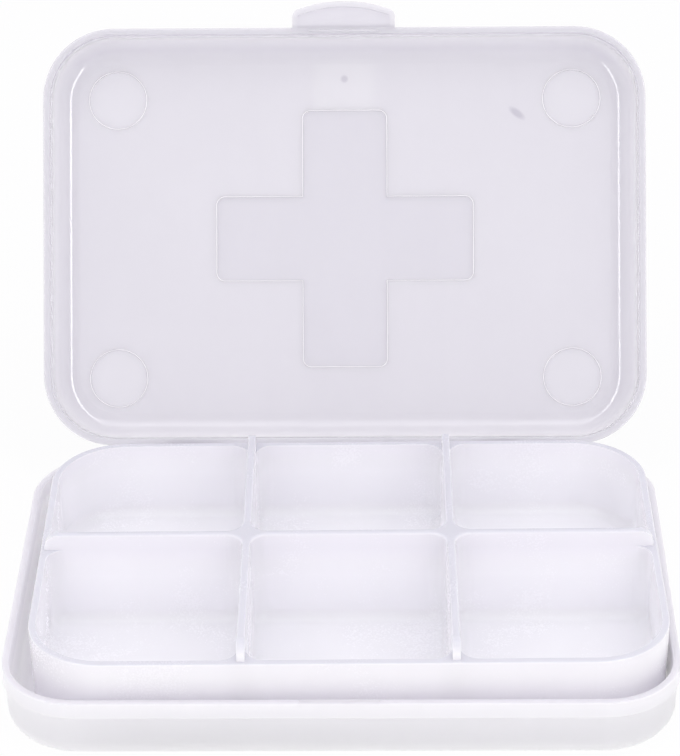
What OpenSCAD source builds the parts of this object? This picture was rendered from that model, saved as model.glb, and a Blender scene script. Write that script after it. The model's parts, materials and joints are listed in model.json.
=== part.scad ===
// Six-compartment pill organizer: a shallow base, a loose compartment tray that stands in it
// and a hinged lid with a finger tab, shown with the lid open against its stop.
// X runs left to right, Y front to back and Z up. The origin is the centre of the base's underside.

/* [Box] */
// Width of the box over its rims, left to right
box_w = 93; // [80:0.5:120]
// Depth of the box over its rims, front to back
box_d = 64.4; // [56:0.1:90]
// Radius of the upright corners at the rims
corner_r = 10.9; // [9:0.1:13]
// Thickness of the base's and the lid's side walls at the rim
wall = 1.05; // [0.9:0.05:1.3]
// Height of the base's rim above the table
base_h = 9.75; // [9:0.05:13]
// Thickness of the base's floor
base_floor = 1; // [0.8:0.1:1.6]
// Radius of the base's lower outside edge
base_edge_r = 3.2; // [2:0.1:4]
// Lean of the outside walls of the base and the lid, in degrees
wall_lean = 1.2; // [0.5:0.1:3]
// Lean of their inside walls, in degrees
inside_lean = 0.5; // [0.2:0.1:1]

/* [Rims] */
// Height of the thicker band along each rim
band_h = 2.4; // [1.2:0.1:3]
// How far that band stands out from the wall
band_proud = 0.3; // [0.1:0.05:0.5]
// Rounding of the rims' outer edge
rim_round = 0.2; // [0.1:0.05:0.3]
// Chamfer of the rims' inner edge
rim_chamfer = 0.15; // [0.1:0.05:0.3]
// Gap between the closed lid's rim and the base's rim
parting_gap = 0.15; // [0.05:0.05:0.4]

/* [Tray] */
// Compartments side by side
columns = 3; // [1:1:5]
// Compartments front to back
rows = 2; // [1:1:3]
// Thickness of the tray's outer walls
tray_wall = 1; // [0.8:0.05:1.4]
// Thickness of the tray's floor
tray_floor = 1; // [0.8:0.1:1.6]
// Thickness of the dividers at the top
divider_t = 1.1; // [0.8:0.1:1.8]
// How far the tray's rim stands above the base's rim
tray_proud = 4.25; // [3:0.05:6]
// How far the dividers stand above the tray's rim
divider_rise = 2.5; // [1.5:0.1:3.5]
// Rounding of the dividers' upper edges
divider_round = 0.35; // [0.1:0.05:0.35]
// Radius at which the dividers' ends run down to the rim
divider_end_r = 2.2; // [1.4:0.1:3]
// How far the dividers' ends reach out over the rim
divider_land = 0.4; // [0.3:0.05:0.6]
// Radius between the compartments' walls and floors
pocket_r = 1.8; // [1:0.1:2]
// Upright radius that is left in the compartments' corners at their foot
pocket_tip_r = 0.5; // [0.3:0.1:2]
// Lean of the compartments' walls, in degrees
pocket_lean = 0.5; // [0.2:0.1:1]
// Lean of the tray's outside walls, in degrees
tray_lean = 1; // [0.5:0.1:2]
// How much rounder the tray's upright corners are than the room they stand in
tray_ease = 0.75; // [0:0.05:1.5]
// Radius of the tray's lower outside edge
tray_edge_r = 2.6; // [1.5:0.1:3.5]
// Play between the tray and the base's walls on each side, with the tray centred
tray_play_x = 1.5; // [0.8:0.05:2.5]
// Play between the tray and the base's walls at the front and the back, with the tray centred
tray_play_y = 2.15; // [1:0.05:3]
// Least gap left where the tray lies over against the right wall
tray_side_gap = 0.3; // [0.3:0.05:0.7]
// Turn of the loose tray in the base, in degrees
tray_turn = 0.5; // [0:0.1:0.6]
// Gap under the tray's floor
tray_seat_gap = 0.1; // [0.05:0.05:0.4]

/* [Lid] */
// Thickness of the lid's panel
lid_t = 1; // [0.8:0.1:1.6]
// Room between the closed lid and the dividers
lid_room = 0.6; // [0.5:0.05:2]
// Radius of the lid's upper outside edge
lid_edge_r = 3.8; // [2.5:0.1:4]
// Radius between the lid's panel and its skirt, on the inside
lid_fillet_r = 3.8; // [2:0.1:4]
// Angle to which the lid opens from closed
lid_angle = 120; // [100:1:130]

/* [Marks on the lid] */
// Length of the cross over both arms
cross_l = 40; // [30:0.5:44]
// Width of the cross's arms
cross_w = 13; // [8:0.5:16]
// Radius of the cross's outer corners
cross_r = 1.2; // [0.5:0.1:2]
// How far the cross stands out on the lid's outside
cross_proud = 0.35; // [0.2:0.05:0.5]
// Depth of its hollow on the lid's inside
cross_hollow = 0.3; // [0.2:0.05:0.4]
// Bevel along the edges of the cross, the round marks and the gate's pad
mark_bevel = 0.1; // [0.05:0.05:0.1]
// Radius of the four round marks on the lid's inside
disc_r = 4.4; // [3:0.1:5]
// Depth of the round marks
disc_depth = 0.2; // [0.15:0.05:0.3]
// Distance of the round marks' centres from the lid's side walls
disc_from_side = 11; // [9:0.1:14]
// Distance of the round marks' centres from the lid's front and back walls
disc_from_end = 10.4; // [9:0.1:14]
// Width of the gate's pad on the lid's outside
gate_pad_w = 9.8; // [6:0.1:12]
// Distance of the gate's pad from the lid's front edge
gate_pad_from_front = 4.5; // [4.5:0.1:5]
// Distance of the gate itself from the lid's front edge
gate_from_front = 6.7; // [6:0.1:7]
// Gap between the gate's pad and the cross
gate_pad_gap = 0.3; // [0.2:0.1:2]
// Radius of the pad's corners
gate_pad_r = 0.6; // [0.3:0.1:1]
// Depth of the gate's pad
gate_pad_depth = 0.2; // [0.15:0.05:0.4]
// Radius of the gate's stub on its pad
gate_stub_r = 0.45; // [0.3:0.05:0.8]

/* [Finger tab] */
// Width of the tab
tab_w = 15.9; // [12:0.1:22]
// How far the tab's tip stands out from the lid's front
tab_l = 4.1; // [3:0.1:6]
// Thickness of the tab
tab_t = 1.5; // [1.1:0.1:2.2]
// How far the tab's front edge bows out
tab_bow = 1.6; // [0.8:0.1:2.2]
// Radius of the tab's corners
tab_corner_r = 1.3; // [0.8:0.1:2]
// Width of the rib left round the hollow on the tab's underside
tab_rib = 0.9; // [0.6:0.1:1.4]
// Depth of that hollow
tab_hollow = 0.25; // [0.1:0.05:0.5]
// Length of the bead along the middle of the lid's front rim
bead_l = 10.7; // [6:0.1:14]
// Radius of that bead
bead_r = 0.2; // [0.15:0.05:0.25]
// Play of the bead in its groove in the base's front rim
bead_play = 0.1; // [0.05:0.05:0.1]

/* [Hinge] */
// Distance of each hinge from the middle of the box
hinge_x = 24; // [12:0.5:28]
// Distance of the hinge's axis behind the rear rim
axis_back = 1.9; // [1.9:0.05:2.4]
// Distance of the hinge's axis below the base's rim
axis_drop = 1.6; // [1.4:0.05:2]
// Radius of the hinge pins
pin_r = 0.9; // [0.7:0.05:1]
// Running clearance between pin and clip, on the radius
pin_clear = 0.05; // [0.03:0.01:0.1]
// Outer radius of the clips and the ears
knuckle_r = 1.65; // [1.5:0.05:1.7]
// Width of each clip on the lid
clip_w = 6; // [4:0.1:9]
// Thickness of each ear on the base
ear_t = 1.5; // [1:0.1:2.5]
// Gap between a clip and the ear beside it
ear_gap = 0.25; // [0.15:0.05:0.5]
// Height of the ears' foot on the rear wall, below the axis
ear_foot = 4.6; // [3:0.1:5]
// Height of the clips' root on the lid's skirt
clip_root = 2.8; // [2:0.1:3.5]
// Mouth of each clip, through which it snaps on to its pin
clip_mouth = 1.4; // [1:0.05:1.6]
// Direction of that mouth with the lid closed, in degrees up from the rear
mouth_turn = 215; // [205:5:225]
// Length of the clips' heel, which stops the open lid
heel_l = 1.9; // [1.2:0.1:2.2]
// Gap between the heel and the rear wall with the lid at its stop
heel_gap = 0.08; // [0.05:0.01:0.2]

/* [Hidden] */
$fn = 96;

// Colours of the three mouldings
frosted = [0.90, 0.90, 0.94, 0.8];
milky = [0.94, 0.94, 0.97];

// Step in which the compartments' corner radius grows
corner_step = 0.1;

// How far a straight side starts inside the round that it leaves, so that the two cross cleanly
bite = 0.01;

// Heights, from the table up
tray_z = base_floor + tray_seat_gap;
pocket_z = tray_z + tray_floor;
tray_rim = base_h + tray_proud;
divider_top = tray_rim + divider_rise;
lid_rim = base_h + parting_gap;
lid_under = divider_top + lid_room;
lid_top = lid_under + lid_t;
cross_top = lid_top + cross_proud;

// Plan of the tray
tray_w = box_w - 2 * (wall + tray_play_x);
tray_d = box_d - 2 * (wall + tray_play_y);
tray_corner_r = corner_r - wall + tray_ease;
pocket_foot = pocket_r + (tray_rim - pocket_z) * tan(pocket_lean) + pocket_tip_r;
pocket_corner_r = corner_step * ceil(pocket_foot / corner_step);
tray_shift = tray_play_x - tray_side_gap - tray_d / 2 * sin(tray_turn);

// Axis of the hinge, and the slopes at which the ears and the clips' roots leave their round ends
axis_y = box_d / 2 + axis_back;
axis_z = base_h - axis_drop;
clip_bore_r = pin_r + pin_clear;
knuckle_in = knuckle_r - 4 * bite;
ear_slope = 40;
root_slope = 45;

// Depth of the strip that carries a block's side profile, and how far cuts run past a face
strip = 5.2;
past = 1;

// How deep the ears, the clips and the tab are rooted in the walls that carry them
sink = 0.6 * (wall - band_proud);

// Flat plan with straight sides x[0] to x[1] and y[0] to y[1], drawn in by inset.
// The radii are those of the corners at the front left, front right, back right and back left.
module plan(x, y, radii, inset = 0) {
    r = [for (a = radii) max(a - inset, 0)];
    x0 = x[0] + inset;
    x1 = x[1] - inset;
    y0 = y[0] + inset;
    y1 = y[1] - inset;
    polygon([
        [x0 + r[0], y0], [x1 - r[1], y0], [x1, y0 + r[1]], [x1, y1 - r[2]],
        [x1 - r[2], y1], [x0 + r[3], y1], [x0, y1 - r[3]], [x0, y0 + r[0]]
    ]);
    centres = [
        [x0 + r[0], y0 + r[0]], [x1 - r[1], y0 + r[1]], [x1 - r[2], y1 - r[2]], [x0 + r[3], y1 - r[3]]
    ];
    for (i = [0:3])
        if (r[i] > 0)
            translate(centres[i]) circle(r[i]);
}

// Carries a side profile right round such a plan: straight runs and turned corners.
// The profile has x = 0 on the plan's outline and lies towards negative x.
module along_plan(x, y, radii) {
    corners = [
        [x[0] + radii[0], y[0] + radii[0], 180], [x[1] - radii[1], y[0] + radii[1], 270],
        [x[1] - radii[2], y[1] - radii[2], 0], [x[0] + radii[3], y[1] - radii[3], 90]
    ];
    for (i = [0:3])
        translate([corners[i][0], corners[i][1], 0])
            rotate([0, 0, corners[i][2]])
                rotate_extrude(angle = 90) translate([radii[i], 0]) children();
    runs = [
        [270, -y[0], x[0] + radii[0], x[1] - radii[1]], [0, x[1], y[0] + radii[1], y[1] - radii[2]],
        [90, y[1], radii[2] - x[1], -x[0] - radii[3]], [180, -x[0], radii[3] - y[1], -y[0] - radii[0]]
    ];
    for (run = runs)
        rotate([0, 0, run[0]])
            translate([run[1], run[3], 0])
                rotate([90, 0, 0]) linear_extrude(run[3] - run[2]) children();
}

// Section of a side from z0 up to z1, which leans in towards a foot of radius r.
module side(depth, z0, z1, r, lean) {
    foot = -(z1 - z0 - r) * tan(lean) - r;
    intersection() {
        union() {
            polygon([[-depth, z0], [foot, z0], [foot + r - bite, z0 + r], [0, z1], [-depth, z1]]);
            translate([foot, z0 + r]) circle(r);
        }
        translate([-depth, z0]) square([depth, z1 - z0]);
    }
}

// Solid block over a plan, with the child profile as its side and a flat bottom at z0.
module block(x, y, radii, depth, z0, z1) {
    along_plan(x, y, radii) children();
    translate([0, 0, z0]) linear_extrude(z1 - z0) plan(x, y, radii, depth);
}

// Section of the outside of a base or a lid, measured from its closed face at 0 to its rim.
module shell_side(rim, edge_r) {
    translate([-band_proud, 0]) side(strip, 0, rim, edge_r, wall_lean);
    polygon([
        [-strip, rim - band_h - band_proud], [-band_proud, rim - band_h - band_proud], [0, rim - band_h],
        [0, rim - rim_round], [-rim_round, rim], [-strip, rim]
    ]);
    translate([-rim_round, rim - rim_round]) circle(rim_round);
}

// Section of the room inside a base or a lid, from its floor up past the rim.
module room_side(floor_z, rim, r) {
    side(strip, floor_z, rim, r, inside_lean);
    polygon([
        [-strip, rim - rim_chamfer], [0, rim - rim_chamfer], [rim_chamfer, rim],
        [rim_chamfer, rim + past], [-strip, rim + past]
    ]);
}

// Open shell with its closed face at 0 and its rim at the given height.
module shell(rim, floor_t, edge_r, fillet_r) {
    x = [-box_w / 2, box_w / 2];
    y = [-box_d / 2, box_d / 2];
    radii = [corner_r, corner_r, corner_r, corner_r];
    inside = [for (r = radii) r - wall];
    difference() {
        block(x, y, radii, strip, 0, rim) shell_side(rim, edge_r);
        block(
            [x[0] + wall, x[1] - wall], [y[0] + wall, y[1] - wall], inside, strip, floor_t, rim + past
        ) room_side(floor_t, rim, fillet_r);
    }
}

// Stands a profile drawn in Y and Z, about the hinge's axis, on edge over a width in X.
module across(x0, width) {
    translate([x0, axis_y, axis_z])
        rotate([90, 0, 90]) linear_extrude(width) children();
}

// Ears and pins of one hinge on the base.
module hinge_pin(x) {
    reach = clip_w / 2 + ear_gap;
    for (start = [-reach - ear_t, reach])
        across(x + start, ear_t) {
            circle(knuckle_r);
            polygon([
                [-axis_back - sink, axis_drop - parting_gap], [0, axis_drop - parting_gap],
                [knuckle_in * cos(ear_slope), -knuckle_in * sin(ear_slope)],
                [-axis_back - band_proud - sink, -ear_foot]
            ]);
        }
    across(x - reach - past / 2, 2 * reach + past) circle(pin_r);
}

// Clip of one hinge on the lid, in the closed lid's place: bore, mouth, root and heel.
module hinge_clip(x) {
    root_z = axis_drop + parting_gap;
    heel_x = axis_back - heel_gap;
    across(x - clip_w / 2, clip_w)
        difference() {
            union() {
                circle(knuckle_r);
                polygon([
                    [-axis_back - sink, root_z], [-axis_back - sink, root_z + clip_root],
                    [-axis_back, root_z + clip_root],
                    [knuckle_in * cos(root_slope), knuckle_in * sin(root_slope)],
                    [-knuckle_in * cos(root_slope), knuckle_in * sin(root_slope)], [-axis_back, root_z]
                ]);
                rotate([0, 0, lid_angle]) polygon([
                    [-heel_x, 0], [-heel_x, -heel_l], [-pin_r, -heel_l], [0, -knuckle_in], [0, 0]
                ]);
            }
            circle(clip_bore_r);
            rotate([0, 0, mouth_turn])
                translate([0, -clip_mouth / 2]) square([knuckle_r + past, clip_mouth]);
        }
}

// Equal-armed cross from z0 up to z1, with the child profile as its side.
module cross_form(z0, z1) {
    radii = [cross_r, cross_r, cross_r, cross_r];
    long = [-cross_l / 2, cross_l / 2];
    wide = [-cross_w / 2, cross_w / 2];
    block(long, wide, radii, cross_r / 2, z0, z1) children();
    block(wide, long, radii, cross_r / 2, z0, z1) children();
}

// Round mark with a bevelled mouth, as the room that is cut for it above a face at 0.
module round_mark() {
    translate([0, 0, -past]) cylinder(r = disc_r + mark_bevel, h = past);
    cylinder(r1 = disc_r + mark_bevel, r2 = disc_r, h = mark_bevel);
    translate([0, 0, mark_bevel]) cylinder(r = disc_r, h = disc_depth - mark_bevel);
}

// Section of a shallow recess whose bevelled mouth is at z. Its floor lies above the mouth, or with
// an up of -1 below it.
module recess_side(width, z, depth, up) {
    polygon([
        [-width, z - up * past], [mark_bevel, z - up * past], [mark_bevel, z],
        [0, z + up * mark_bevel], [0, z + up * depth], [-width, z + up * depth]
    ]);
}

// Plan of the finger tab, with its root inside the lid's front wall, drawn in by inset.
module tab_plan(inset) {
    half = tab_w / 2;
    bow_r = (half * half + tab_bow * tab_bow) / (2 * tab_bow);
    tip_y = -box_d / 2 - tab_l;
    bow_y = tip_y + bow_r;
    corner_x = half - tab_corner_r;
    corner_y = bow_y - sqrt(pow(bow_r - tab_corner_r, 2) - corner_x * corner_x);
    root_y = -box_d / 2 + wall / 2;
    reach = (bow_r - inset) / (bow_r - tab_corner_r);
    end_x = corner_x * reach;
    end_y = bow_y - (bow_y - corner_y) * reach;
    translate([inset - half, corner_y]) square([2 * (half - inset), root_y - corner_y]);
    for (side_x = [-corner_x, corner_x])
        translate([side_x, corner_y]) circle(tab_corner_r - inset);
    intersection() {
        translate([0, bow_y]) circle(bow_r - inset - bite);
        polygon([
            [-corner_x, corner_y], [corner_x, corner_y], [end_x, end_y], [end_x, tip_y - past],
            [-end_x, tip_y - past], [-end_x, end_y]
        ]);
    }
}

// Bar along the middle of the front rim at the height of z: the lid's bead, or the groove for it.
module front_bead(z, play) {
    length = bead_l + 2 * play;
    translate([-length / 2, (wall - box_d) / 2, z])
        rotate([0, 90, 0]) cylinder(r = bead_r + play, h = length);
}

module base() color(frosted) {
    difference() {
        shell(base_h, base_floor, base_edge_r, base_edge_r - wall);
        front_bead(base_h, bead_play);
    }
    hinge_pin(-hinge_x);
    hinge_pin(hinge_x);
}

// Section of the tray's outside.
module tray_side() {
    side(strip, tray_z, tray_rim - rim_round, tray_edge_r, tray_lean);
    translate([-strip, tray_rim - rim_round - past]) square([strip - rim_round, past + rim_round]);
    translate([-rim_round, tray_rim - rim_round]) circle(rim_round);
}

// Part of a divider that stands above the tray's rim, along X, with its two ends rounded down.
module divider_bar(length) {
    low = tray_rim - past;
    translate([0, divider_t, 0]) rotate([90, 0, 0]) linear_extrude(divider_t) {
        for (end_x = [divider_end_r, length - divider_end_r])
            translate([end_x, divider_top - divider_end_r]) circle(divider_end_r);
        translate([0, low]) square([length, divider_top - divider_end_r - low]);
        translate([divider_end_r, low]) square([length - 2 * divider_end_r, divider_top - low]);
    }
}

// Dividers above the rim. The blocks at their crossings are what the compartments' corners are cut from.
module dividers(x, y) {
    pitch_x = (x[1] - x[0] + divider_t) / columns;
    pitch_y = (y[1] - y[0] + divider_t) / rows;
    long = [x[1] - x[0] + 2 * divider_land, y[1] - y[0] + 2 * divider_land];
    crossing = divider_t + 2 * pocket_corner_r + past;
    mid = divider_t / 2;
    for (i = [1:1:columns - 1])
        translate([x[0] + i * pitch_x, y[0] - divider_land, 0]) rotate([0, 0, 90]) divider_bar(long[1]);
    for (j = [1:1:rows - 1])
        translate([x[0] - divider_land, y[0] + j * pitch_y - divider_t, 0]) divider_bar(long[0]);
    for (i = [1:1:columns - 1], j = [1:1:rows - 1])
        translate([x[0] + i * pitch_x - mid, y[0] + j * pitch_y - mid, tray_rim - past])
            linear_extrude(divider_rise + past) square(crossing, center = true);
}

// One compartment, as the room that is cut for it, widened at the top to round the dividers' edges.
module pocket(x, y, radii) {
    depth = pocket_corner_r - pocket_tip_r / 2;
    block(x, y, radii, depth, pocket_z, divider_top + past) {
        side(depth, pocket_z, tray_rim, pocket_r, pocket_lean);
        translate([-depth, tray_rim]) square([depth, divider_rise + past]);
        translate([0, divider_top - divider_round])
            difference() {
                translate([-depth, 0]) square([depth + divider_round, divider_round + past]);
                translate([divider_round, 0]) circle(divider_round);
            }
    }
}

module tray() color(milky) {
    x = [-tray_w / 2, tray_w / 2];
    y = [-tray_d / 2, tray_d / 2];
    inner_x = [x[0] + tray_wall, x[1] - tray_wall];
    inner_y = [y[0] + tray_wall, y[1] - tray_wall];
    inner_r = tray_corner_r - tray_wall;
    pitch_x = (inner_x[1] - inner_x[0] + divider_t) / columns;
    pitch_y = (inner_y[1] - inner_y[0] + divider_t) / rows;
    all_r = [tray_corner_r, tray_corner_r, tray_corner_r, tray_corner_r];
    translate([tray_shift, 0, 0]) rotate([0, 0, tray_turn])
        difference() {
            union() {
                block(x, y, all_r, strip, tray_z, tray_rim) tray_side();
                dividers(inner_x, inner_y);
            }
            for (i = [0:columns - 1], j = [0:rows - 1]) {
                x0 = inner_x[0] + i * pitch_x;
                y0 = inner_y[0] + j * pitch_y;
                left = i == 0;
                right = i == columns - 1;
                front = j == 0;
                back = j == rows - 1;
                pocket([x0, x0 + pitch_x - divider_t], [y0, y0 + pitch_y - divider_t], [
                    left && front ? inner_r : pocket_corner_r, right && front ? inner_r : pocket_corner_r,
                    right && back ? inner_r : pocket_corner_r, left && back ? inner_r : pocket_corner_r
                ]);
            }
        }
}

// Lid in its closed place.
module closed_lid() {
    pad = [-box_d / 2 + gate_pad_from_front, -cross_l / 2 - gate_pad_gap];
    pad_radii = [gate_pad_r, gate_pad_r, gate_pad_r, gate_pad_r];
    difference() {
        union() {
            translate([0, 0, lid_top]) mirror([0, 0, 1])
                shell(lid_top - lid_rim, lid_t, lid_edge_r, lid_fillet_r);
            cross_form(lid_top - past / 2, cross_top) polygon([
                [-cross_r / 2, lid_top - past / 2], [0, lid_top - past / 2],
                [0, cross_top - mark_bevel], [-mark_bevel, cross_top], [-cross_r / 2, cross_top]
            ]);
            difference() {
                translate([0, 0, lid_rim]) linear_extrude(tab_t) tab_plan(0);
                translate([0, 0, lid_rim - past]) linear_extrude(past + tab_hollow)
                    intersection() {
                        tab_plan(tab_rib);
                        translate([-tab_w, -box_d / 2 - tab_l]) square([2 * tab_w, tab_l]);
                    }
            }
            front_bead(lid_rim, 0);
        }
        cross_form(lid_under - past, lid_under + cross_hollow)
            recess_side(cross_r / 2, lid_under, cross_hollow, 1);
        for (sx = [-1, 1], sy = [-1, 1])
            translate([sx * (box_w / 2 - disc_from_side), sy * (box_d / 2 - disc_from_end), lid_under])
                round_mark();
        difference() {
            block(
                [-gate_pad_w / 2, gate_pad_w / 2], pad, pad_radii, gate_pad_r / 2,
                lid_top - gate_pad_depth, lid_top + past
            ) recess_side(gate_pad_r / 2, lid_top, gate_pad_depth, -1);
            translate([0, -box_d / 2 + gate_from_front, lid_top - past]) cylinder(r = gate_stub_r, h = past);
        }
    }
    hinge_clip(-hinge_x);
    hinge_clip(hinge_x);
}

module lid() color(frosted)
    translate([0, axis_y, axis_z])
        rotate([-lid_angle, 0, 0]) translate([0, -axis_y, -axis_z]) closed_lid();

base();
tray();
lid();
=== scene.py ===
import json
import math

import bpy
from mathutils import Matrix, Vector


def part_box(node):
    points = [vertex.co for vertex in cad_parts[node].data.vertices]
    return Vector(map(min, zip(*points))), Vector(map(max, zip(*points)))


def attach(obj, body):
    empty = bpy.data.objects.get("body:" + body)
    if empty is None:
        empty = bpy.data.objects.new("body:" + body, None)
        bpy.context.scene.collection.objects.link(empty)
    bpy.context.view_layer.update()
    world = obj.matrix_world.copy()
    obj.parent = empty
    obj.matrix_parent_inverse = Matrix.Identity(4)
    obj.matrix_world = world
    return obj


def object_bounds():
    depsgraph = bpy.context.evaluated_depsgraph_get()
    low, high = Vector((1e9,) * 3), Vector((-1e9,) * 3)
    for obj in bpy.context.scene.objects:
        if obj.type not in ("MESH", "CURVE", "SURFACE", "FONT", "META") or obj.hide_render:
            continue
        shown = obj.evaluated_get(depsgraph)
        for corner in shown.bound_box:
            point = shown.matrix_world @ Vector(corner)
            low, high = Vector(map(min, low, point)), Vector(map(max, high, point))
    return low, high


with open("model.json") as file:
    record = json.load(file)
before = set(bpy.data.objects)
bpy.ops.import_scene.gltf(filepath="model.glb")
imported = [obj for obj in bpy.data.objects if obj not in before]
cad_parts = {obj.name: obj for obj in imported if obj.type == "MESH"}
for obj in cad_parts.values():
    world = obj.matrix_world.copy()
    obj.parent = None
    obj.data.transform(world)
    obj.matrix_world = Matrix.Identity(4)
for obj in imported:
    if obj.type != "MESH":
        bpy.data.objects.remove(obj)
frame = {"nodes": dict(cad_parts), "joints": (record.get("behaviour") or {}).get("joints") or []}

cad_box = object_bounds()


# Camera
# It looks along +Y from a little above, as a person who sits at the table sees the open box,
# through a long lens, so that the sides hardly draw together.
MM = 0.001
aim = Vector((-0.68, 37.88, 20.0)) * MM
distance = 448.9 * MM
look_down = math.radians(29.6)
look_left = math.radians(1.05)
tilt = math.radians(-0.75)
lens_mm = 140.0

turn = (
    Matrix.Rotation(look_left, 3, "Z")
    @ Matrix.Rotation(math.radians(90) - look_down, 3, "X")
    @ Matrix.Rotation(tilt, 3, "Z")
)
camera_data = bpy.data.cameras.new("camera")
camera_data.lens = lens_mm
camera_data.sensor_width = 36.0
camera_data.clip_start = 0.01
camera = bpy.data.objects.new("camera", camera_data)
camera.matrix_world = Matrix.Translation(aim + turn @ Vector((0, 0, distance))) @ turn.to_4x4()
bpy.context.scene.collection.objects.link(camera)
bpy.context.scene.camera = camera


# Table top and room
# A white table in a pale room that is a little dimmer in front of the box than behind it. The camera and
# gloss see both as plain white, with a faint shadow of the box on the table. Between the box's white walls
# the light passes many times before it is spent.
table_size = 3.0
table_white = (0.92, 0.92, 0.93, 1.0)
table_shadow = 0.10
room_light = (0.982, 0.965, 1.0, 1.0)
room_front = 0.73
room_back = 1.0
room_fade = 0.6
passes_in_white_plastic = 12


def new_node(tree, kind, **values):
    """Adds a node and sets the inputs or properties that are named."""
    node = tree.nodes.new(kind)
    for name, value in values.items():
        if hasattr(node, name):
            setattr(node, name, value)
        else:
            node.inputs[name.replace("_", " ")].default_value = value
    return node


def link(tree, source, target):
    """Leads an output into an input."""
    tree.links.new(source, target)


def mapped(tree, source, low, high, to_low, to_high):
    """The source's stretch from low to high, laid over the stretch from to_low to to_high."""
    node = new_node(tree, "ShaderNodeMapRange", From_Min=low, From_Max=high, To_Min=to_low, To_Max=to_high)
    link(tree, source, node.inputs["Value"])
    return node.outputs["Result"]


def ray_kinds(tree):
    """1 for the camera's rays and for mirrored and refracted ones, 0 for those that light the scene."""
    path = new_node(tree, "ShaderNodeLightPath")
    first = new_node(tree, "ShaderNodeMath", operation="MAXIMUM")
    link(tree, path.outputs["Is Glossy Ray"], first.inputs[0])
    link(tree, path.outputs["Is Transmission Ray"], first.inputs[1])
    both = new_node(tree, "ShaderNodeMath", operation="MAXIMUM")
    link(tree, first.outputs[0], both.inputs[0])
    link(tree, path.outputs["Is Camera Ray"], both.inputs[1])
    return both.outputs[0]


room = bpy.data.worlds.new("room")
room.use_nodes = True
sky = room.node_tree
light = sky.nodes["Background"]
light.inputs["Color"].default_value = room_light
split = new_node(sky, "ShaderNodeSeparateXYZ")
link(sky, new_node(sky, "ShaderNodeTexCoord").outputs["Generated"], split.inputs["Vector"])
strength = mapped(sky, split.outputs["Y"], -room_fade, room_fade, room_front, room_back)
link(sky, strength, light.inputs["Strength"])
plain = new_node(sky, "ShaderNodeBackground", Color=(1, 1, 1, 1), Strength=1.0)
choose = new_node(sky, "ShaderNodeMixShader")
link(sky, ray_kinds(sky), choose.inputs[0])
link(sky, light.outputs[0], choose.inputs[1])
link(sky, plain.outputs[0], choose.inputs[2])
link(sky, choose.outputs[0], sky.nodes["World Output"].inputs["Surface"])
bpy.context.scene.world = room
bpy.context.scene.view_settings.view_transform = "Standard"
bpy.context.scene.cycles.diffuse_bounces = passes_in_white_plastic

table_mesh = bpy.data.meshes.new("table")
half = table_size / 2
table_corners = [(-half, -half, 0), (half, -half, 0), (half, half, 0), (-half, half, 0)]
table_mesh.from_pydata(table_corners, [], [(0, 1, 2, 3)])
table = bpy.data.objects.new("table", table_mesh)
table.location = (0, 0, cad_box[0].z)
bpy.context.scene.collection.objects.link(table)
table_material = bpy.data.materials.new("white table")
table_material.use_nodes = True
top = table_material.node_tree
top.nodes.clear()
matt = new_node(top, "ShaderNodeBsdfDiffuse", Color=table_white)
white = new_node(top, "ShaderNodeEmission")
faint = new_node(top, "ShaderNodeMixShader")
faint.inputs[0].default_value = 1 - table_shadow
link(top, matt.outputs[0], faint.inputs[1])
link(top, white.outputs[0], faint.inputs[2])
seen = new_node(top, "ShaderNodeMixShader")
link(top, ray_kinds(top), seen.inputs[0])
link(top, white.outputs[0], seen.inputs[1])
link(top, faint.outputs[0], seen.inputs[2])
link(top, seen.outputs[0], new_node(top, "ShaderNodeOutputMaterial").inputs["Surface"])
table_mesh.materials.append(table_material)


# Lamps
# Nine soft panels make an arch that stands square to the open lid and gives its fillets long highlights.
# Those on the right are brighter. A wide round lamp hangs over the box. Sizes are in metres.
lid_opens = math.radians(120)
lamp_colour = (1.0, 0.985, 0.995)
arch_middle = Vector((0, 60, 45)) * MM
arch_gap = 0.65
arch_across = 0.40
arch_up = 0.90
arch_width = 0.12
arch_panels = 9
arch_start = math.radians(-15)
arch_span = math.radians(210)
right_glow = 3.8
left_glow = 3.0
top_glow = 0.3
over_glow = 0.62
over_size = 0.5
over_place = (0, -0.1, 0.9)

hinge = next(joint for joint in frame["joints"] if joint["name"] == "lid_hinge")
open_turn = Matrix.Rotation(-lid_opens, 3, "X")
arch_turn = open_turn @ Matrix.Rotation(math.radians(180), 3, "X")


def panel_lamp(name, angle, span, glow):
    """A panel of the arch: its angle from the right, the angle that it spans, and its brightness."""
    along = Vector((-arch_across * math.sin(angle), arch_up * math.cos(angle), 0))
    size = (arch_width, along.length * span)
    data = bpy.data.lights.new(name, "AREA")
    data.shape = "RECTANGLE"
    data.size, data.size_y = size
    data.energy = glow * math.pi * size[0] * size[1]
    data.color = lamp_colour
    lamp = bpy.data.objects.new(name, data)
    on_arch = Vector((arch_across * math.cos(angle), arch_up * math.sin(angle), arch_gap))
    lean = Matrix.Rotation(math.atan2(-along.x, along.y), 3, "Z")
    lamp.matrix_world = Matrix.Translation(arch_middle + arch_turn @ on_arch) @ (arch_turn @ lean).to_4x4()
    bpy.context.scene.collection.objects.link(lamp)


for place in range(arch_panels):
    share = place / (arch_panels - 1)
    angle = arch_start + arch_span * share
    side_glow = right_glow if share < 0.5 else left_glow
    glow = top_glow + (side_glow - top_glow) * math.cos(angle) ** 2
    panel_lamp(f"arch {place + 1}", angle, arch_span / (arch_panels - 1), glow)
soft = bpy.data.lights.new("overhead", "AREA")
soft.shape = "DISK"
soft.size = over_size
soft.energy = over_glow * math.pi * math.pi * (over_size / 2) ** 2
overhead = bpy.data.objects.new("overhead", soft)
overhead.location = over_place
bpy.context.scene.collection.objects.link(overhead)


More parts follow.
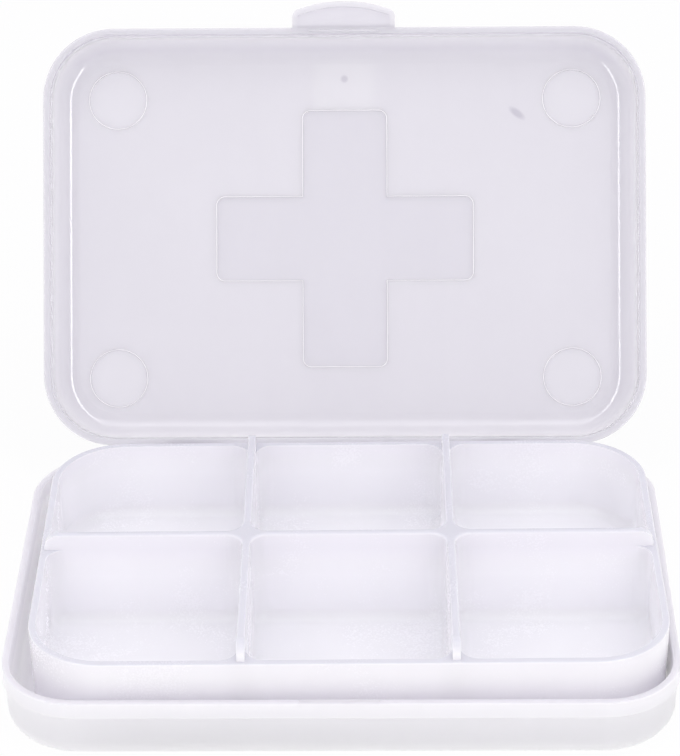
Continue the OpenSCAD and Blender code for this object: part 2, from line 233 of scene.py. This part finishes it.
# Base
# A shallow frosted box of translucent polypropylene, injection moulded in one piece with the ears and the
# pins of its hinge. Its skin has a fine matt grain, and light sinks deep into its walls. Painted shade
# makes its rim and the faces that look up a shade darker than the walls.
plastic_ior = 1.49
light_spread = (1.0, 0.98, 1.0)
clouds_per_m = 55.0
streaks_per_m = 28.0
streak_shape = (7.0, 1.0, 1.0)
streak_share = 0.4
haze_band = (0.35, 0.65)
worn_per_m = 120.0
skin_band = (0.3, 0.7)
roughness_spread = 0.2
bump_strength = 0.3
faces_up = (0.3, 0.9)
base_grain = 5000.0
base_rim = (6.9 * MM, 7.6 * MM)
# Painted shade: colour factors that darken the rim and the faces that look up.
base_rim_painted_shade = (0.88, 0.88, 0.895)
base_top_painted_shade = (0.81, 0.80, 0.83)


def polypropylene(
    name, colour, haze, sinks_in, depth, roughness, grain, relief, gloss, shine, shine_roughness
):
    """Moulded polypropylene, clouded with a haze along the flow of the melt. The colours are linear.

    sinks_in is the share of light that spreads inside, and depth how far it gets there. The skin's grain
    has a number of bumps to the metre and a relief in metres. shine is the smooth outermost skin, as the
    polished steel of the mould leaves it, with its own roughness.
    """
    material = bpy.data.materials.new(name)
    material.use_nodes = True
    tree = material.node_tree
    shader = tree.nodes["Principled BSDF"]
    place = new_node(tree, "ShaderNodeTexCoord").outputs["Object"]

    clouds = new_node(tree, "ShaderNodeTexNoise", Scale=clouds_per_m, Detail=3.0, Roughness=0.55)
    link(tree, place, clouds.inputs["Vector"])
    along = new_node(tree, "ShaderNodeMapping", Scale=streak_shape)
    link(tree, place, along.inputs["Vector"])
    flow = new_node(tree, "ShaderNodeTexNoise", Scale=streaks_per_m, Detail=4.0, Roughness=0.6)
    link(tree, along.outputs["Vector"], flow.inputs["Vector"])
    blend = new_node(tree, "ShaderNodeMix", data_type="FLOAT")
    blend.inputs["Factor"].default_value = streak_share
    link(tree, clouds.outputs["Fac"], blend.inputs["A"])
    link(tree, flow.outputs["Fac"], blend.inputs["B"])
    tint = new_node(tree, "ShaderNodeMix", data_type="RGBA")
    tint.inputs["A"].default_value = (*haze, 1)
    tint.inputs["B"].default_value = (*colour, 1)
    link(tree, mapped(tree, blend.outputs["Result"], *haze_band, 0.0, 1.0), tint.inputs["Factor"])
    link(tree, tint.outputs["Result"], shader.inputs["Base Color"])

    fine = new_node(tree, "ShaderNodeTexNoise", Scale=grain, Detail=2.0, Roughness=0.6)
    link(tree, place, fine.inputs["Vector"])
    worn = new_node(tree, "ShaderNodeTexNoise", Scale=worn_per_m, Detail=2.0, Roughness=0.5)
    link(tree, place, worn.inputs["Vector"])
    skin = new_node(tree, "ShaderNodeMix", data_type="FLOAT")
    skin.inputs["Factor"].default_value = 0.5
    link(tree, fine.outputs["Fac"], skin.inputs["A"])
    link(tree, worn.outputs["Fac"], skin.inputs["B"])
    smooth, rough = roughness * (1 - roughness_spread), roughness * (1 + roughness_spread)
    link(tree, mapped(tree, skin.outputs["Result"], *skin_band, smooth, rough), shader.inputs["Roughness"])
    bumps = new_node(tree, "ShaderNodeBump", Strength=bump_strength, Distance=relief)
    link(tree, fine.outputs["Fac"], bumps.inputs["Height"])
    link(tree, bumps.outputs["Normal"], shader.inputs["Normal"])

    shader.inputs["IOR"].default_value = plastic_ior
    shader.inputs["Subsurface Weight"].default_value = sinks_in
    shader.inputs["Subsurface Radius"].default_value = light_spread
    shader.inputs["Subsurface Scale"].default_value = depth
    shader.inputs["Specular IOR Level"].default_value = gloss
    shader.inputs["Coat Weight"].default_value = shine
    shader.inputs["Coat Roughness"].default_value = shine_roughness
    return material


def tinted(material, colour, amount, blend_type="MULTIPLY"):
    """Lays a colour over the material's own, as strongly as the amount's socket says."""
    tree = material.node_tree
    shader = tree.nodes["Principled BSDF"]
    mix = new_node(tree, "ShaderNodeMix", data_type="RGBA", blend_type=blend_type)
    mix.inputs["B"].default_value = (*colour, 1)
    link(tree, amount, mix.inputs["Factor"])
    link(tree, shader.inputs["Base Color"].links[0].from_socket, mix.inputs["A"])
    link(tree, mix.outputs["Result"], shader.inputs["Base Color"])


def painted_light_grade(material, direction, start, end, colour):
    """Paints light or shade into the colour: multiplies it more and more along a stretch in the given
    direction, and fully beyond it.
    """
    tree = material.node_tree
    along = new_node(tree, "ShaderNodeVectorMath", operation="DOT_PRODUCT")
    along.inputs[1].default_value = direction
    link(tree, new_node(tree, "ShaderNodeTexCoord").outputs["Object"], along.inputs[0])
    tinted(material, colour, mapped(tree, along.outputs["Value"], start, end, 0.0, 1.0))


def painted_shade_on_flat_faces(material, colour, above):
    """Paints shade on the faces that look up and lie above a height, by multiplying their colour."""
    tree = material.node_tree
    upward = new_node(tree, "ShaderNodeSeparateXYZ")
    link(tree, new_node(tree, "ShaderNodeNewGeometry").outputs["Normal"], upward.inputs["Vector"])
    level = new_node(tree, "ShaderNodeSeparateXYZ")
    link(tree, new_node(tree, "ShaderNodeTexCoord").outputs["Object"], level.inputs["Vector"])
    both = new_node(tree, "ShaderNodeMath", operation="MULTIPLY")
    link(tree, mapped(tree, upward.outputs["Z"], *faces_up, 0.0, 1.0), both.inputs[0])
    link(tree, mapped(tree, level.outputs["Z"], above, above + 0.1 * MM, 0.0, 1.0), both.inputs[1])
    tinted(material, colour, both.outputs[0])


base = frame["nodes"]["base"]
base_plastic = polypropylene(
    "frosted base", colour=(0.985, 0.970, 1.0), haze=(0.975, 0.960, 0.995),
    sinks_in=1.0, depth=4.2 * MM, roughness=0.35, grain=base_grain, relief=0.02 * MM,
    gloss=0.5, shine=0.0, shine_roughness=0.2
)
# Painted shade on the faces that look up and on the band of the rim.
painted_shade_on_flat_faces(base_plastic, base_top_painted_shade, above=cad_box[0].z - 1 * MM)
painted_light_grade(base_plastic, (0, 0, 1), *base_rim, base_rim_painted_shade)
base.material_slots[0].material = base_plastic


# Tray
# A loose insert of white polypropylene with six compartments, moulded in one piece. It stands in the base
# and lifts straight out. Its skin is glossier than the base's. Painted shade darkens all its faces that
# look up a little, and the tops of its walls and dividers and the upper part of their sides more.
tray_grain = 3500.0
rim_below_dividers = 4 * MM
upper_walls = (7 * MM, 2.5 * MM)
# Painted shade: colour factors for the faces that look up, the tops and the upper walls.
tray_upward_painted_shade = (0.97, 0.985, 0.995)
tray_top_painted_shade = (0.84, 0.835, 0.865)
upper_wall_painted_shade = (0.91, 0.91, 0.91)

tray = frame["nodes"]["tray"]
tray_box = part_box("tray")
divider_top = tray_box[1].z
tray_plastic = polypropylene(
    "white tray", colour=(0.975, 0.965, 0.998), haze=(0.965, 0.955, 0.988),
    sinks_in=0.6, depth=0.8 * MM, roughness=0.25, grain=tray_grain, relief=0.008 * MM,
    gloss=0.5, shine=0.4, shine_roughness=0.15
)
# Painted shade on the faces that look up, on the tops of walls and dividers, and on their upper sides.
painted_shade_on_flat_faces(tray_plastic, tray_upward_painted_shade, above=tray_box[0].z - 1 * MM)
painted_shade_on_flat_faces(tray_plastic, tray_top_painted_shade, above=divider_top - rim_below_dividers)
painted_light_grade(tray_plastic, (0, 0, 1), divider_top - upper_walls[0], divider_top - upper_walls[1], upper_wall_painted_shade)
tray.material_slots[0].material = tray_plastic


# Lid
# A frosted cover of the base's outline, moulded in one piece with its finger tab and the clips that snap on
# to the base's pins. It is glossier than the base. Painted shade makes its panel and rim darker than the
# skirt between and dims the cross's hollow a little more, and painted light brightens the finger tab.
# A dark fleck is caught in it and the gate has left a dot. Their places and sizes are in millimetres.
lid_room = 0.6 * MM
lid_grain = 5000.0
panel_fade = 4.0 * MM
hollow_depths = (0.05 * MM, 0.18 * MM)
rim_heights = (5.2 * MM, 6.4 * MM)
tab_starts = (0.1 * MM, 0.5 * MM)
# Painted shade: colour factors for the panel, the cross's hollow and the lid's rim.
panel_painted_shade = (0.685, 0.685, 0.69)
hollow_painted_shade = (0.975, 0.975, 0.98)
lid_rim_painted_shade = (0.64, 0.64, 0.65)
# Painted light: brightens the finger tab.
tab_painted_light = (1.14, 1.14, 1.13)
fleck_place = (27.0, 12.7)
fleck_size = (1.6, 0.65)
fleck_turn = math.radians(-37)
gate_place = (0.0, 7.2)
gate_size = (0.65, 0.65)
spot_depth = 1.5
spot_edge = (0.5, 1.1)
spot_strength = 0.6
soot = (0.42, 0.40, 0.47)

front_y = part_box("base")[0].y
lid_under = divider_top + lid_room
hinge_place = Vector(hinge["pos_m"])


def on_lid(x, from_front):
    """A point of the panel's inside, as the open lid holds it: x and the distance from the front edge."""
    shut = Vector((x * MM, front_y + from_front * MM, lid_under))
    return hinge_place + open_turn @ (shut - hinge_place)


def spot(material, place, size, turned):
    """Darkens the colour in an oval on the lid's panel."""
    tree = material.node_tree
    local = new_node(tree, "ShaderNodeMapping", vector_type="TEXTURE")
    local.inputs["Location"].default_value = on_lid(*place)
    local.inputs["Rotation"].default_value = (arch_turn @ Matrix.Rotation(turned, 3, "Z")).to_euler()
    local.inputs["Scale"].default_value = (size[0] * MM, size[1] * MM, spot_depth * MM)
    link(tree, new_node(tree, "ShaderNodeTexCoord").outputs["Object"], local.inputs["Vector"])
    reach = new_node(tree, "ShaderNodeVectorMath", operation="LENGTH")
    link(tree, local.outputs["Vector"], reach.inputs[0])
    strength = mapped(tree, reach.outputs["Value"], *spot_edge, spot_strength, 0.0)
    tinted(material, soot, strength, blend_type="MIX")


lid = frame["nodes"]["lid"]
lid_plastic = polypropylene(
    "frosted lid", colour=(0.93, 0.915, 0.97), haze=(0.915, 0.90, 0.955),
    sinks_in=1.0, depth=3 * MM, roughness=0.12, grain=lid_grain, relief=0.002 * MM,
    gloss=1.0, shine=1.0, shine_roughness=0.08
)
inward = arch_turn @ Vector((0, 0, 1))
panel_at = on_lid(0.0, 0.0).dot(inward)
outward = (on_lid(0.0, 0.0) - on_lid(0.0, 1.0)).normalized()
edge_at = on_lid(0.0, 0.0).dot(outward)
# Painted shade on the panel, the cross's hollow and the rim; painted light on the finger tab.
painted_light_grade(lid_plastic, -inward, -panel_at - panel_fade, -panel_at, panel_painted_shade)
painted_light_grade(lid_plastic, -inward, -panel_at + hollow_depths[0], -panel_at + hollow_depths[1], hollow_painted_shade)
painted_light_grade(lid_plastic, inward, panel_at + rim_heights[0], panel_at + rim_heights[1], lid_rim_painted_shade)
painted_light_grade(lid_plastic, outward, edge_at + tab_starts[0], edge_at + tab_starts[1], tab_painted_light)
spot(lid_plastic, fleck_place, fleck_size, fleck_turn)
spot(lid_plastic, gate_place, gate_size, 0.0)
lid.material_slots[0].material = lid_plastic


# Witness lines on the lid
# Fine raised lines of plastic, pressed into the joints round the mould's inserts. They frame the cross and
# the four round marks on the lid's inside, where they catch the light.
line_width = 0.16 * MM
mark_radius = 4.5 * MM
mark_columns = 71.0 * MM
mark_rows = 43.6 * MM
cross_length = 40.2 * MM
cross_width = 13.2 * MM
cross_corner = 1.3 * MM
corner_steps = 8
ring_steps = 96
bead_sides = 8


def cross_outline():
    """Points of an equal-armed cross with rounded outer corners, anticlockwise in the lid's plane."""
    half, arm, r = cross_length / 2, cross_width / 2, cross_corner
    quarter = [(arm, arm)]
    for middle_x, first in ((arm - r, 0), (r - arm, 90)):
        for step in range(corner_steps + 1):
            angle = math.radians(first + 90 * step / corner_steps)
            quarter.append((middle_x + r * math.cos(angle), half - r + r * math.sin(angle)))
    points = []
    for turns in range(4):
        for x, y in quarter:
            for _ in range(turns):
                x, y = -y, x
            points.append((x, y, lid_under))
    return points


def witness_tree():
    """Rings on the corners of a grid and the outline it is given, both drawn as round beads."""
    tree = bpy.data.node_groups.new("witness lines", "GeometryNodeTree")
    face = tree.interface
    face.new_socket("Outline", in_out="INPUT", socket_type="NodeSocketGeometry")
    for name in ("Ring Radius", "Columns Apart", "Rows Apart", "Height", "Line Width"):
        face.new_socket(name, in_out="INPUT", socket_type="NodeSocketFloat")
    face.new_socket("Material", in_out="INPUT", socket_type="NodeSocketMaterial")
    face.new_socket("Lines", in_out="OUTPUT", socket_type="NodeSocketGeometry")
    given = new_node(tree, "NodeGroupInput").outputs
    grid = new_node(tree, "GeometryNodeMeshGrid", Vertices_X=2, Vertices_Y=2)
    link(tree, given["Columns Apart"], grid.inputs["Size X"])
    link(tree, given["Rows Apart"], grid.inputs["Size Y"])
    lifted = new_node(tree, "ShaderNodeCombineXYZ")
    link(tree, given["Height"], lifted.inputs["Z"])
    corners = new_node(tree, "GeometryNodeTransform")
    link(tree, grid.outputs["Mesh"], corners.inputs["Geometry"])
    link(tree, lifted.outputs["Vector"], corners.inputs["Translation"])
    ring = new_node(tree, "GeometryNodeCurvePrimitiveCircle", Resolution=ring_steps)
    link(tree, given["Ring Radius"], ring.inputs["Radius"])
    rings = new_node(tree, "GeometryNodeInstanceOnPoints")
    link(tree, corners.outputs["Geometry"], rings.inputs["Points"])
    link(tree, ring.outputs["Curve"], rings.inputs["Instance"])
    real = new_node(tree, "GeometryNodeRealizeInstances")
    link(tree, rings.outputs["Instances"], real.inputs["Geometry"])
    outline = new_node(tree, "GeometryNodeMeshToCurve")
    link(tree, given["Outline"], outline.inputs["Mesh"])
    paths = new_node(tree, "GeometryNodeJoinGeometry")
    link(tree, outline.outputs["Curve"], paths.inputs["Geometry"])
    link(tree, real.outputs["Geometry"], paths.inputs["Geometry"])
    halved = new_node(tree, "ShaderNodeMath", operation="MULTIPLY")
    halved.inputs[1].default_value = 0.5
    link(tree, given["Line Width"], halved.inputs[0])
    section = new_node(tree, "GeometryNodeCurvePrimitiveCircle", Resolution=bead_sides)
    link(tree, halved.outputs[0], section.inputs["Radius"])
    beads = new_node(tree, "GeometryNodeCurveToMesh")
    link(tree, paths.outputs["Geometry"], beads.inputs["Curve"])
    link(tree, section.outputs["Curve"], beads.inputs["Profile Curve"])
    final = new_node(tree, "GeometryNodeRealizeInstances")
    link(tree, beads.outputs["Mesh"], final.inputs["Geometry"])
    coated = new_node(tree, "GeometryNodeSetMaterial")
    link(tree, final.outputs["Geometry"], coated.inputs["Geometry"])
    link(tree, given["Material"], coated.inputs["Material"])
    link(tree, coated.outputs["Geometry"], new_node(tree, "NodeGroupOutput").inputs["Lines"])
    return tree


line_plastic = polypropylene(
    "frosted lines", colour=(0.98, 0.965, 1.0), haze=(0.97, 0.955, 0.99),
    sinks_in=0.0, depth=1 * MM, roughness=0.2, grain=lid_grain, relief=0.002 * MM,
    gloss=1.0, shine=1.0, shine_roughness=0.15
)
outline_points = cross_outline()
outline_mesh = bpy.data.meshes.new("witness outline")
count = len(outline_points)
outline_mesh.from_pydata(outline_points, [(i, (i + 1) % count) for i in range(count)], [])
drawing = bpy.data.objects.new("witness drawing", outline_mesh)
bpy.context.scene.collection.objects.link(drawing)
lines_tree = witness_tree()
modifier = drawing.modifiers.new("lines", "NODES")
modifier.node_group = lines_tree
values = {
    "Ring Radius": mark_radius, "Columns Apart": mark_columns, "Rows Apart": mark_rows,
    "Height": lid_under, "Line Width": line_width, "Material": line_plastic
}
for item in lines_tree.interface.items_tree:
    if item.name in values:
        modifier[item.identifier] = values[item.name]
depsgraph = bpy.context.evaluated_depsgraph_get()
line_mesh = bpy.data.meshes.new_from_object(drawing.evaluated_get(depsgraph))
bpy.data.objects.remove(drawing)
line_mesh.transform(Matrix.Translation(hinge_place) @ open_turn.to_4x4() @ Matrix.Translation(-hinge_place))
for face in line_mesh.polygons:
    face.use_smooth = True
lines = bpy.data.objects.new("witness_lines", line_mesh)
bpy.context.scene.collection.objects.link(lines)
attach(lines, "lid")
